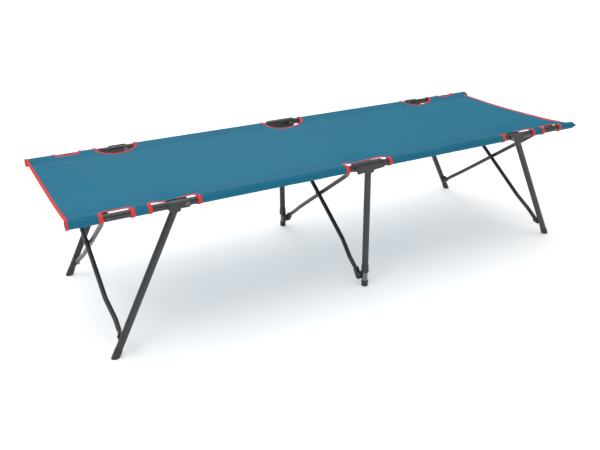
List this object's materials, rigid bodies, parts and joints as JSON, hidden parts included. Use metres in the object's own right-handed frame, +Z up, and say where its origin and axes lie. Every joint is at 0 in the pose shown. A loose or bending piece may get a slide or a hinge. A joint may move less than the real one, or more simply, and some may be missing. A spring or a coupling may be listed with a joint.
{
  "type": "folding cot",
  "caption": "Folding camp cot: fabric stretched between folding side rails on crossed braces, swinging end legs and telescoping middle legs.",
  "frame": {"origin": "on the floor, midway between the feet in length and width", "axes": "+X along the cot's length towards the end with the closed sleeve tips, +Y across it, +Z up"},
  "size_m": [1.9, 0.6394, 0.4546],
  "materials": {
    "powder_coat": "dark grey powder coat, satin",
    "head_steel": "black powder coat on pressed steel",
    "bright_tube": "grey metallic, drawn",
    "rivet_steel": "zinc plated",
    "black_plastic": "moulded, fine grain",
    "foot_plastic": "moulded, slightly soft",
    "sleeping_fabric": "coated blue polyester, plain weave, red bound edges"
  },
  "bodies": {
    "far_middle_foot": {"far_inner_leg": "bright_tube", "far_middle_foot_cap": "foot_plastic", "far_middle_knuckle": "black_plastic"},
    "middle_brace_far_foot": {"middle_brace_far_foot": "powder_coat"},
    "middle_brace_near_foot": {"middle_brace_near_foot": "powder_coat"},
    "far_centre": {"far_centre_bracket": "black_plastic", "far_outer_leg": "powder_coat", "far_leg_collar": "black_plastic", "centre_panel": "sleeping_fabric", "far_left_hinge_pin": "head_steel", "far_right_hinge_pin": "head_steel"},
    "near_centre": {"near_centre_bracket": "black_plastic", "near_outer_leg": "powder_coat", "near_leg_collar": "black_plastic", "near_left_hinge_pin": "head_steel", "near_right_hinge_pin": "head_steel"},
    "near_middle_foot": {"near_inner_leg": "bright_tube", "near_middle_foot_cap": "foot_plastic", "near_middle_knuckle": "black_plastic"},
    "near_left_rail": {"near_left_rail": "powder_coat", "near_left_rail_rivets": "rivet_steel", "near_left_sleeve": "sleeping_fabric"},
    "near_left_leg": {"near_left_end_leg": "powder_coat", "near_left_leg_head": "head_steel", "near_left_foot_cap": "foot_plastic"},
    "near_left_yoke": {"near_left_brace_yoke": "black_plastic"},
    "near_left_knuckle": {"near_left_end_knuckle": "black_plastic"},
    "left_brace_near_foot": {"left_brace_near_foot": "powder_coat"},
    "far_left_rail": {"far_left_rail": "powder_coat", "far_left_rail_rivets": "rivet_steel", "far_left_sleeve": "sleeping_fabric", "left_panel": "sleeping_fabric"},
    "far_left_leg": {"far_left_end_leg": "powder_coat", "far_left_leg_head": "head_steel", "far_left_foot_cap": "foot_plastic"},
    "far_left_yoke": {"far_left_brace_yoke": "black_plastic"},
    "far_left_knuckle": {"far_left_end_knuckle": "black_plastic"},
    "left_brace_far_foot": {"left_brace_far_foot": "powder_coat"},
    "near_right_rail": {"near_right_rail": "powder_coat", "near_right_rail_rivets": "rivet_steel", "near_right_sleeve": "sleeping_fabric"},
    "near_right_leg": {"near_right_end_leg": "powder_coat", "near_right_leg_head": "head_steel", "near_right_foot_cap": "foot_plastic"},
    "near_right_yoke": {"near_right_brace_yoke": "black_plastic"},
    "near_right_knuckle": {"near_right_end_knuckle": "black_plastic"},
    "right_brace_near_foot": {"right_brace_near_foot": "powder_coat"},
    "far_right_rail": {"far_right_rail": "powder_coat", "far_right_rail_rivets": "rivet_steel", "far_right_sleeve": "sleeping_fabric", "right_panel": "sleeping_fabric"},
    "far_right_leg": {"far_right_end_leg": "powder_coat", "far_right_leg_head": "head_steel", "far_right_foot_cap": "foot_plastic"},
    "far_right_yoke": {"far_right_brace_yoke": "black_plastic"},
    "far_right_knuckle": {"far_right_end_knuckle": "black_plastic"},
    "right_brace_far_foot": {"right_brace_far_foot": "powder_coat"}
  },
  "joints": [
    {"name": "width_fold", "type": "hinge", "parent": "far_middle_foot", "child": "middle_brace_far_foot", "pos_m": [0.017, 0.275, 0.055], "axis": [-1, 0, 0], "range_deg": [0, 52], "deforming": ["left_panel", "centre_panel", "right_panel"]},
    {"name": "middle_cross_pin", "type": "hinge", "parent": "middle_brace_far_foot", "child": "middle_brace_near_foot", "pos_m": [0, 0, 0.247], "axis": [1, 0, 0], "range_deg": [0, 104.02]},
    {"name": "far_middle_top_pin", "type": "hinge", "parent": "middle_brace_near_foot", "child": "far_centre", "pos_m": [0.028, 0.275, 0.439], "axis": [1, 0, 0], "range_deg": [-52.02, 0]},
    {"name": "near_middle_top_pin", "type": "hinge", "parent": "middle_brace_far_foot", "child": "near_centre", "pos_m": [-0.028, -0.275, 0.439], "axis": [1, 0, 0], "range_deg": [0, 52.02]},
    {"name": "near_middle_foot_pin", "type": "hinge", "parent": "middle_brace_near_foot", "child": "near_middle_foot", "pos_m": [-0.017, -0.275, 0.055], "axis": [1, 0, 0], "range_deg": [-52.02, 0]},
    {"name": "left_half_fold", "type": "hinge", "parent": "far_centre", "child": "far_left_rail", "pos_m": [-0.05, 0.303, 0.439], "axis": [0, -1, 0], "range_deg": [0, 60]},
    {"name": "near_left_rail_fold", "type": "hinge", "parent": "near_centre", "child": "near_left_rail", "pos_m": [-0.05, -0.303, 0.439], "axis": [0, -1, 0], "range_deg": [0, 60.02]},
    {"name": "right_half_fold", "type": "hinge", "parent": "far_centre", "child": "far_right_rail", "pos_m": [0.05, 0.303, 0.439], "axis": [0, 1, 0], "range_deg": [0, 60]},
    {"name": "near_right_rail_fold", "type": "hinge", "parent": "near_centre", "child": "near_right_rail", "pos_m": [0.05, -0.303, 0.439], "axis": [0, 1, 0], "range_deg": [0, 60.02]},
    {"name": "near_left_leg_swing", "type": "hinge", "parent": "near_left_rail", "child": "near_left_leg", "pos_m": [-0.623, -0.303, 0.439], "axis": [0, -1, 0], "range_deg": [0, 117.27]},
    {"name": "far_left_leg_swing", "type": "hinge", "parent": "far_left_rail", "child": "far_left_leg", "pos_m": [-0.623, 0.303, 0.439], "axis": [0, -1, 0], "range_deg": [0, 117.27]},
    {"name": "far_left_yoke_tilt", "type": "hinge", "parent": "far_left_rail", "child": "far_left_yoke", "pos_m": [-0.848, 0.275, 0.439], "axis": [0, -1, 0], "range_deg": [0, 87.88]},
    {"name": "far_left_top_pin", "type": "hinge", "parent": "far_left_yoke", "child": "left_brace_near_foot", "pos_m": [-0.848, 0.275, 0.439], "axis": [1, 0, 0], "range_deg": [0, 52.02]},
    {"name": "left_cross_pin", "type": "hinge", "parent": "left_brace_near_foot", "child": "left_brace_far_foot", "pos_m": [-0.848, 0, 0.247], "axis": [1, 0, 0], "range_deg": [-104.02, 0]},
    {"name": "near_left_foot_pin", "type": "hinge", "parent": "left_brace_near_foot", "child": "near_left_knuckle", "pos_m": [-0.848, -0.275, 0.055], "axis": [1, 0, 0], "range_deg": [-52.02, 0]},
    {"name": "far_left_foot_pin", "type": "hinge", "parent": "left_brace_far_foot", "child": "far_left_knuckle", "pos_m": [-0.848, 0.275, 0.055], "axis": [1, 0, 0], "range_deg": [0, 52.02]},
    {"name": "near_left_top_pin", "type": "hinge", "parent": "left_brace_far_foot", "child": "near_left_yoke", "pos_m": [-0.848, -0.275, 0.439], "axis": [1, 0, 0], "range_deg": [0, 52.02]},
    {"name": "near_right_leg_swing", "type": "hinge", "parent": "near_right_rail", "child": "near_right_leg", "pos_m": [0.623, -0.303, 0.439], "axis": [0, 1, 0], "range_deg": [0, 117.27]},
    {"name": "far_right_leg_swing", "type": "hinge", "parent": "far_right_rail", "child": "far_right_leg", "pos_m": [0.623, 0.303, 0.439], "axis": [0, 1, 0], "range_deg": [0, 117.27]},
    {"name": "far_right_yoke_tilt", "type": "hinge", "parent": "far_right_rail", "child": "far_right_yoke", "pos_m": [0.848, 0.275, 0.439], "axis": [0, 1, 0], "range_deg": [0, 87.88]},
    {"name": "far_right_top_pin", "type": "hinge", "parent": "far_right_yoke", "child": "right_brace_near_foot", "pos_m": [0.848, 0.275, 0.439], "axis": [1, 0, 0], "range_deg": [0, 52.02]},
    {"name": "right_cross_pin", "type": "hinge", "parent": "right_brace_near_foot", "child": "right_brace_far_foot", "pos_m": [0.848, 0, 0.247], "axis": [1, 0, 0], "range_deg": [-104.02, 0]},
    {"name": "near_right_foot_pin", "type": "hinge", "parent": "right_brace_near_foot", "child": "near_right_knuckle", "pos_m": [0.848, -0.275, 0.055], "axis": [1, 0, 0], "range_deg": [-52.02, 0]},
    {"name": "far_right_foot_pin", "type": "hinge", "parent": "right_brace_far_foot", "child": "far_right_knuckle", "pos_m": [0.848, 0.275, 0.055], "axis": [1, 0, 0], "range_deg": [0, 52.02]},
    {"name": "near_right_top_pin", "type": "hinge", "parent": "right_brace_far_foot", "child": "near_right_yoke", "pos_m": [0.848, -0.275, 0.439], "axis": [1, 0, 0], "range_deg": [0, 52.02]}
  ],
  "couplings": [
    {"joint": "middle_cross_pin", "follows": "width_fold", "ratio": 2},
    {"joint": "far_middle_top_pin", "follows": "width_fold", "ratio": -1},
    {"joint": "near_middle_top_pin", "follows": "width_fold", "ratio": 1},
    {"joint": "near_middle_foot_pin", "follows": "width_fold", "ratio": -1},
    {"joint": "near_left_rail_fold", "follows": "left_half_fold", "ratio": 1},
    {"joint": "near_right_rail_fold", "follows": "right_half_fold", "ratio": 1},
    {"joint": "near_left_leg_swing", "follows": "width_fold", "ratio": 2.2548},
    {"joint": "far_left_leg_swing", "follows": "width_fold", "ratio": 2.2548},
    {"joint": "far_left_yoke_tilt", "follows": "width_fold", "ratio": 1.6896},
    {"joint": "far_left_top_pin", "follows": "width_fold", "ratio": 1},
    {"joint": "left_cross_pin", "follows": "width_fold", "ratio": -2},
    {"joint": "near_left_foot_pin", "follows": "width_fold", "ratio": -1},
    {"joint": "far_left_foot_pin", "follows": "width_fold", "ratio": 1},
    {"joint": "near_left_top_pin", "follows": "width_fold", "ratio": 1},
    {"joint": "near_right_leg_swing", "follows": "width_fold", "ratio": 2.2548},
    {"joint": "far_right_leg_swing", "follows": "width_fold", "ratio": 2.2548},
    {"joint": "far_right_yoke_tilt", "follows": "width_fold", "ratio": 1.6896},
    {"joint": "far_right_top_pin", "follows": "width_fold", "ratio": 1},
    {"joint": "right_cross_pin", "follows": "width_fold", "ratio": -2},
    {"joint": "near_right_foot_pin", "follows": "width_fold", "ratio": -1},
    {"joint": "far_right_foot_pin", "follows": "width_fold", "ratio": 1},
    {"joint": "near_right_top_pin", "follows": "width_fold", "ratio": 1}
  ]
}
